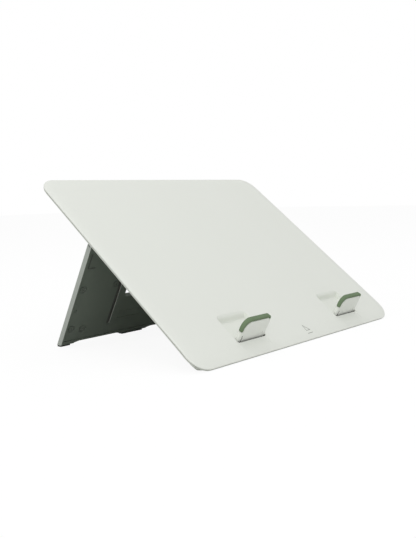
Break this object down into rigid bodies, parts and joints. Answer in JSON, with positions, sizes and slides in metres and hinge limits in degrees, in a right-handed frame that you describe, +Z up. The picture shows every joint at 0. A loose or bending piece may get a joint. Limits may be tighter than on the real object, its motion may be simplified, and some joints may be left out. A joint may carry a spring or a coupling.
{
  "type": "portable drawing board",
  "caption": "Thin sloping board with rounded corners on a wide folding leg, with flip-up stops near its front edge that fold flat into pockets.",
  "frame": {"origin": "middle of the underside of the bounding box, on the surface that the board stands on", "axes": "+Z up, +X to the right along the front edge, +Y to the back. The front edge is at -Y and the board rises towards +Y"},
  "size_m": [0.34, 0.2132, 0.1696],
  "materials": {
    "shell_plastic": "fine moulded grain, satin",
    "cover_plastic": "fine moulded grain",
    "leg_plastic": "fine moulded grain",
    "leg_panel_plastic": "moulded grain, dull",
    "bracket_plastic": "satin",
    "edging_rubber": "soft, matt",
    "foot_rubber": "soft, matt",
    "steel": "zinc plated",
    "bronze": "dull"
  },
  "bodies": {
    "board": {"top_shell": "shell_plastic", "bottom_cover": "cover_plastic", "cover_screw_1": "steel", "cover_screw_2": "steel", "cover_screw_3": "steel", "cover_screw_4": "steel", "cover_screw_5": "steel", "cover_screw_6": "steel", "cover_screw_7": "steel", "cover_screw_8": "steel", "front_foot_left": "foot_rubber", "front_foot_right": "foot_rubber", "hinge_bracket_left_outer": "bracket_plastic", "hinge_bracket_left_inner": "bracket_plastic", "hinge_bracket_right_inner": "bracket_plastic", "hinge_bracket_right_outer": "bracket_plastic", "bracket_screw_1": "steel", "bracket_screw_2": "steel", "bracket_screw_3": "steel", "bracket_screw_4": "steel", "leg_hinge_pin_left": "steel", "leg_hinge_pin_right": "steel", "leg_friction_washer_left": "bronze", "leg_friction_washer_right": "bronze", "tab_hinge_pin_left": "steel", "tab_hinge_pin_right": "steel", "tab_friction_washer_left": "bronze", "tab_friction_washer_right": "bronze"},
    "leg": {"leg_shell": "leg_plastic", "leg_inner_panel": "leg_panel_plastic", "leg_screw_1": "steel", "leg_screw_2": "steel", "leg_screw_3": "steel", "leg_screw_4": "steel", "leg_screw_5": "steel", "leg_screw_6": "steel", "leg_screw_7": "steel", "leg_screw_8": "steel", "leg_foot_1": "foot_rubber", "leg_foot_2": "foot_rubber", "leg_foot_3": "foot_rubber", "leg_foot_4": "foot_rubber"},
    "stop_left": {"stop_tab_left": "shell_plastic", "tab_rubber_left": "edging_rubber"},
    "stop_right": {"stop_tab_right": "shell_plastic", "tab_rubber_right": "edging_rubber"}
  },
  "joints": [
    {"name": "leg_fold", "type": "hinge", "parent": "board", "child": "leg", "pos_m": [0, 0.03296, 0.10477], "axis": [1, 0, 0], "range_deg": [-80.2, 0]},
    {"name": "stop_left_flip", "type": "hinge", "parent": "board", "child": "stop_left", "pos_m": [-0.079, -0.08904, 0.01516], "axis": [1, 0, 0], "range_deg": [-80, 0]},
    {"name": "stop_right_flip", "type": "hinge", "parent": "board", "child": "stop_right", "pos_m": [0.091, -0.08904, 0.01516], "axis": [1, 0, 0], "range_deg": [-80, 0]}
  ]
}
